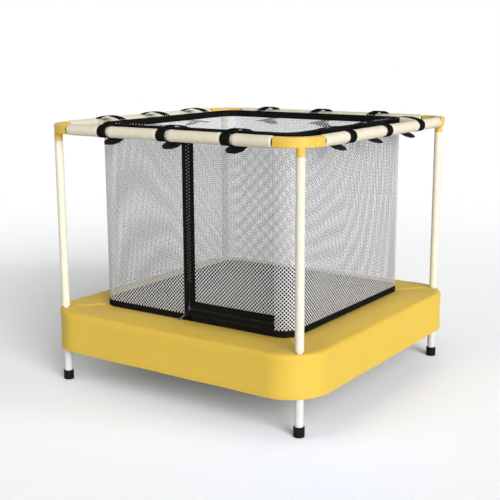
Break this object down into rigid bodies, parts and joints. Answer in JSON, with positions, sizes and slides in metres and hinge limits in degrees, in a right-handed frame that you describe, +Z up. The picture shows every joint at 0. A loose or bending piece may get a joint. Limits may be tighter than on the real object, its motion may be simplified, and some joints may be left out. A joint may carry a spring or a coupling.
{
  "type": "trampoline",
  "caption": "Child's square trampoline: steel frame on four legs, padded yellow skirt, sprung mat, and a strapped net enclosure with an L-shaped zip door.",
  "frame": {"origin": "on the floor under the centre of the trampoline, at the bottom centre of its box", "axes": "+Z up, the door faces -Y, +X to the right of someone who looks at the door"},
  "size_m": [1.2258, 1.2258, 1.0504],
  "materials": {
    "frame_paint": "white powder coat",
    "leg_paint": "white powder coat",
    "zinc_screws": "zinc plated",
    "foot_rubber": "moulded black rubber",
    "pole_steel": "white powder coat",
    "cream_foam": "closed-cell foam with a smooth cream skin",
    "yellow_plastic": "moulded, fine texture",
    "black_plastic": "moulded",
    "black_webbing": "woven polyester webbing",
    "closing_flap": "hook-and-loop backed webbing",
    "white_mesh": "knitted polyester mesh",
    "zip_metal": "black lacquered zip slider",
    "pull_grey": "cord and moulded tab",
    "yellow_cover": "coated woven cover",
    "pad_foam": "closed-cell foam sheet",
    "mat_fabric": "woven polypropylene jumping mat",
    "spring_steel": "zinc-plated spring wire"
  },
  "bodies": {
    "root": {"frame_corner_back_right": "frame_paint", "frame_corner_back_left": "frame_paint", "frame_corner_front_left": "frame_paint", "frame_corner_front_right": "frame_paint", "frame_side_front": "frame_paint", "frame_side_right": "frame_paint", "frame_side_back": "frame_paint", "frame_side_left": "frame_paint", "frame_screws": "zinc_screws", "leg_back_right": "leg_paint", "leg_back_left": "leg_paint", "leg_front_left": "leg_paint", "leg_front_right": "leg_paint", "feet": "foot_rubber", "post_tube_back_right": "pole_steel", "post_tube_back_left": "pole_steel", "post_tube_front_left": "pole_steel", "post_tube_front_right": "pole_steel", "post_foam_back_right": "cream_foam", "post_foam_back_left": "cream_foam", "post_foam_front_left": "cream_foam", "post_foam_front_right": "cream_foam", "top_connector_back_right": "yellow_plastic", "top_connector_back_left": "yellow_plastic", "top_connector_front_left": "yellow_plastic", "top_connector_front_right": "yellow_plastic", "rail_tubes": "pole_steel", "rail_collars": "black_plastic", "rail_foam_front": "cream_foam", "rail_foam_right": "cream_foam", "rail_foam_back": "cream_foam", "rail_foam_left": "cream_foam", "net_straps_front": "black_webbing", "net_straps_right": "black_webbing", "net_straps_back": "black_webbing", "net_straps_left": "black_webbing", "strap_flaps": "closing_flap", "net_front": "white_mesh", "net_door_fixed": "white_mesh", "net_right": "white_mesh", "net_back": "white_mesh", "net_left": "white_mesh", "net_corners": "white_mesh", "net_top_band": "black_webbing", "net_bottom_hem": "black_webbing", "door_sill": "black_webbing", "zip_tape_net": "black_webbing", "pad_cover": "yellow_cover", "pad_foam": "pad_foam", "mat_springs": "spring_steel"},
    "mat": {"jumping_mat": "mat_fabric", "mat_edging": "black_webbing", "mat_rings": "spring_steel"},
    "door_flap": {"net_door_flap": "white_mesh", "zip_tape_door": "black_webbing"},
    "slider_upright": {"zip_slider_upright": "zip_metal"},
    "slider_sill": {"zip_slider_sill": "zip_metal"},
    "pull_upright": {"zip_pull_upright": "pull_grey"},
    "pull_sill": {"zip_pull_sill": "pull_grey"}
  },
  "joints": [
    {"name": "mat_bounce", "type": "slide", "parent": "root", "child": "mat", "axis": [0, 0, -1], "range_m": [0, 0.12], "stiffness_N_per_m": 4000, "springref_m": -0.012, "deforming": ["mat_springs"]},
    {"name": "door_fold", "type": "hinge", "parent": "root", "child": "door_flap", "pos_m": [0, -0.4461, 0.968], "axis": [-0.4612, 0, 0.8873], "range_deg": [0, 160]},
    {"name": "zip_rise", "type": "slide", "parent": "root", "child": "slider_upright", "axis": [0, 0, 1], "range_m": [0, 0.576]},
    {"name": "zip_cross", "type": "slide", "parent": "root", "child": "slider_sill", "axis": [1, 0, 0], "range_m": [0, 0.293]},
    {"name": "pull_upright_swing", "type": "hinge", "parent": "slider_upright", "child": "pull_upright", "pos_m": [0, -0.4504, 0.3703], "axis": [-1, 0, 0], "range_deg": [0, 100]},
    {"name": "pull_sill_swing", "type": "hinge", "parent": "slider_sill", "child": "pull_sill", "pos_m": [0.008, -0.4504, 0.3543], "axis": [-1, 0, 0], "range_deg": [0, 80]}
  ],
  "couplings": [
    {"joint": "zip_rise", "follows": "door_fold", "m_per_rad": 0.2059},
    {"joint": "zip_cross", "follows": "door_fold", "m_per_rad": 0.10456}
  ]
}
